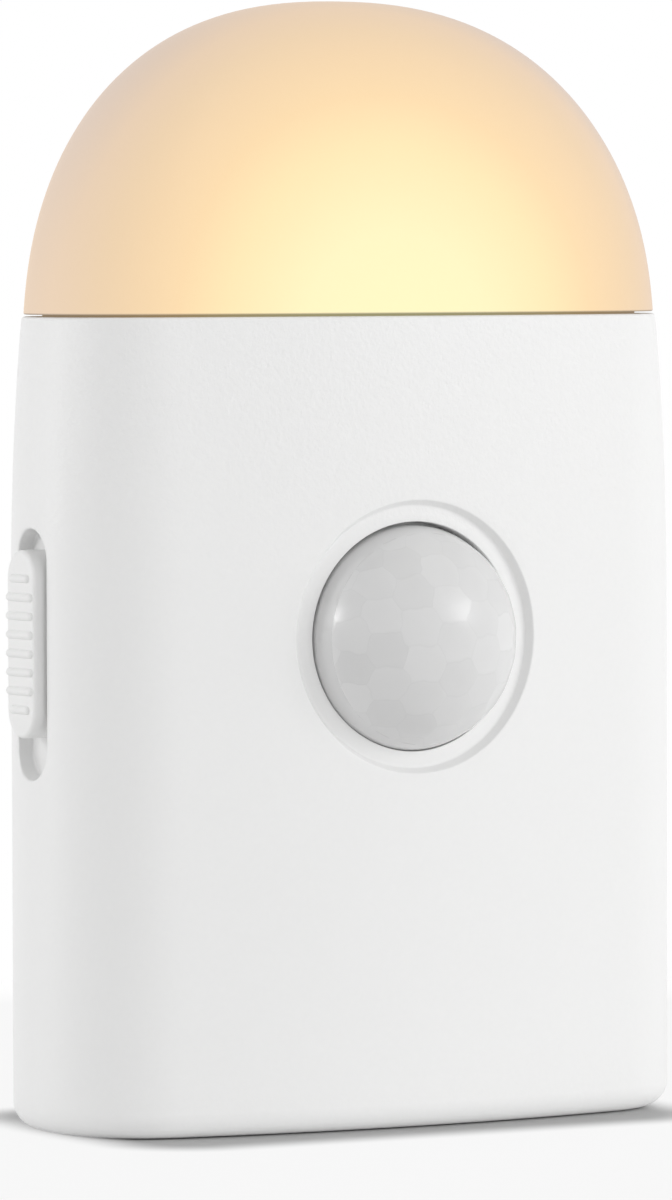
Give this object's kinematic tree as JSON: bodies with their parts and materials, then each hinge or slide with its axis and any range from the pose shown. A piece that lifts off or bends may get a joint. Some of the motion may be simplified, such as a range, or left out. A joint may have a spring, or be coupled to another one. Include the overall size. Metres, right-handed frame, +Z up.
{
  "type": "motion sensor night light",
  "caption": "Upright white night light with a glowing dome, a domed motion sensor lens, a side slide switch and a rear battery door.",
  "frame": {"origin": "middle of the flat base, on the surface it stands on", "axes": "+Z up, the front with the lens faces -Y, +X to the right as seen from the front"},
  "size_m": [0.0674, 0.0372, 0.1048],
  "materials": {
    "white_shell": "satin white moulded plastic with a fine grain",
    "white_knob": "satin white moulded plastic",
    "warm_diffuser": "translucent warm-lit diffuser",
    "milky_lens": "milky lens plastic with a fine sheen",
    "bright_steel": "bright plated steel",
    "black_plastic": "matt black",
    "circuit_board": "green solder mask",
    "plated_pins": "plated",
    "cell_wrap": "printed sleeve",
    "warm_led": "warm phosphor",
    "white_tray": "reflective white",
    "dark_filter": "dark filter"
  },
  "bodies": {
    "housing": {"front_shell": "white_shell", "rear_cover": "white_shell", "dome_diffuser": "warm_diffuser", "reflector_tray": "white_tray", "led_board": "white_tray", "warm_leds": "warm_led", "main_board": "circuit_board", "pir_sensor": "bright_steel", "sensor_window": "dark_filter", "fresnel_lens": "milky_lens", "lens_retainer": "white_tray", "light_sensor": "dark_filter", "control_chip": "black_plastic", "capacitor": "black_plastic", "switch_can": "bright_steel", "cell_left": "cell_wrap", "cell_middle": "cell_wrap", "cell_right": "cell_wrap", "spring_left": "bright_steel", "spring_middle": "bright_steel", "spring_right": "bright_steel", "positive_terminal": "bright_steel", "negative_terminal": "bright_steel", "lower_bridge": "bright_steel", "upper_bridge": "bright_steel", "link_header": "black_plastic", "link_pins": "plated_pins", "rear_screws": "bright_steel", "board_screws": "bright_steel"},
    "switch": {"slider_knob": "white_knob", "switch_lever": "black_plastic"},
    "door": {"battery_door": "white_shell"}
  },
  "joints": [
    {"name": "switch_slide", "type": "slide", "parent": "housing", "child": "switch", "axis": [0, 0, 1], "range_m": [-0.002, 0]},
    {"name": "door_hinge", "type": "hinge", "parent": "housing", "child": "door", "pos_m": [0, 0.0136, 0.0065], "axis": [-1, 0, 0], "range_deg": [0, 90]}
  ]
}
